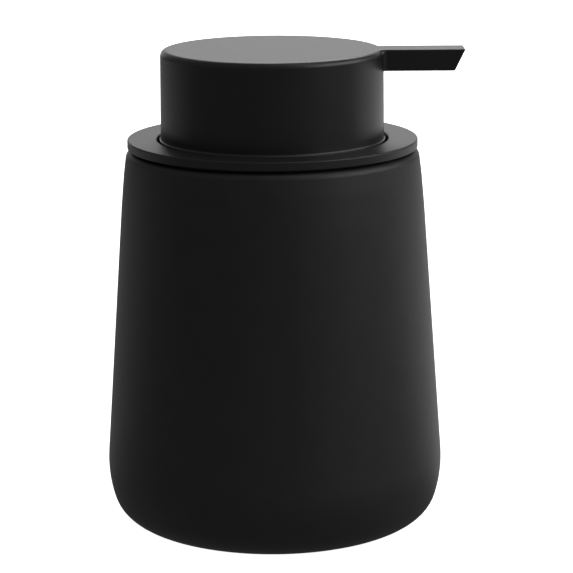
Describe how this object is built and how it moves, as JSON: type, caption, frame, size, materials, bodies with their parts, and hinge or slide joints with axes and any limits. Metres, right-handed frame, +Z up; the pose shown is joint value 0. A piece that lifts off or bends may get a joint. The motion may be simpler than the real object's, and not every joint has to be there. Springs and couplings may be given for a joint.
{
  "type": "soap pump dispenser",
  "caption": "Free-standing matte black soap dispenser: tapered stoneware vessel, flat collar lid and a wide round pump cap with a short flat bar spout.",
  "frame": {"origin": "centre of the base pad's underside, on the surface that the dispenser stands on", "axes": "+Z up along the axis of the vessel and pump, +X along the spout, +Y to the back"},
  "size_m": [0.1037, 0.098, 0.138],
  "materials": {
    "stoneware": "matte",
    "lid_plastic": "satin",
    "cap_plastic": "satin",
    "core_plastic": "matte",
    "closure_plastic": "satin",
    "pump_plastic": "satin",
    "piston_plastic": "satin",
    "silicone": "matte",
    "washer_foam": "matte",
    "clear_tube": "satin",
    "spring_steel": "satin",
    "valve_steel": "polished"
  },
  "bodies": {
    "vessel": {"vessel": "stoneware", "base_pad": "silicone"},
    "lid": {"lid": "lid_plastic", "lid_gasket": "silicone", "mouth_ring": "silicone", "neck_washer": "washer_foam", "pump_closure": "closure_plastic", "pump_housing": "pump_plastic", "dip_tube": "clear_tube", "ball_retainer": "pump_plastic", "stem_guide": "closure_plastic", "return_spring": "spring_steel"},
    "plunger": {"stem": "pump_plastic", "stem_foot": "pump_plastic", "stem_o_ring": "silicone"},
    "piston": {"piston": "piston_plastic"},
    "head": {"pump_cap": "cap_plastic", "head_core": "core_plastic", "spout_tube": "clear_tube"},
    "inlet_ball": {"inlet_ball": "valve_steel"}
  },
  "joints": [
    {"name": "lid_lift", "type": "slide", "parent": "vessel", "child": "lid", "axis": [0, 0, 1], "range_m": [0, 0.105]},
    {"name": "pump_stroke", "type": "slide", "parent": "lid", "child": "plunger", "axis": [0, 0, -1], "range_m": [0, 0.014], "stiffness_N_per_m": 400, "springref_m": -0.012, "deforming": ["return_spring"]},
    {"name": "head_swivel", "type": "hinge", "parent": "plunger", "child": "head", "pos_m": [0, 0, 0.124], "axis": [0, 0, 1], "continuous": true},
    {"name": "piston_slip", "type": "slide", "parent": "plunger", "child": "piston", "axis": [0, 0, 1], "range_m": [0, 0.00108]},
    {"name": "ball_lift", "type": "slide", "parent": "lid", "child": "inlet_ball", "axis": [0, 0, 1], "range_m": [0, 0.0022]}
  ]
}
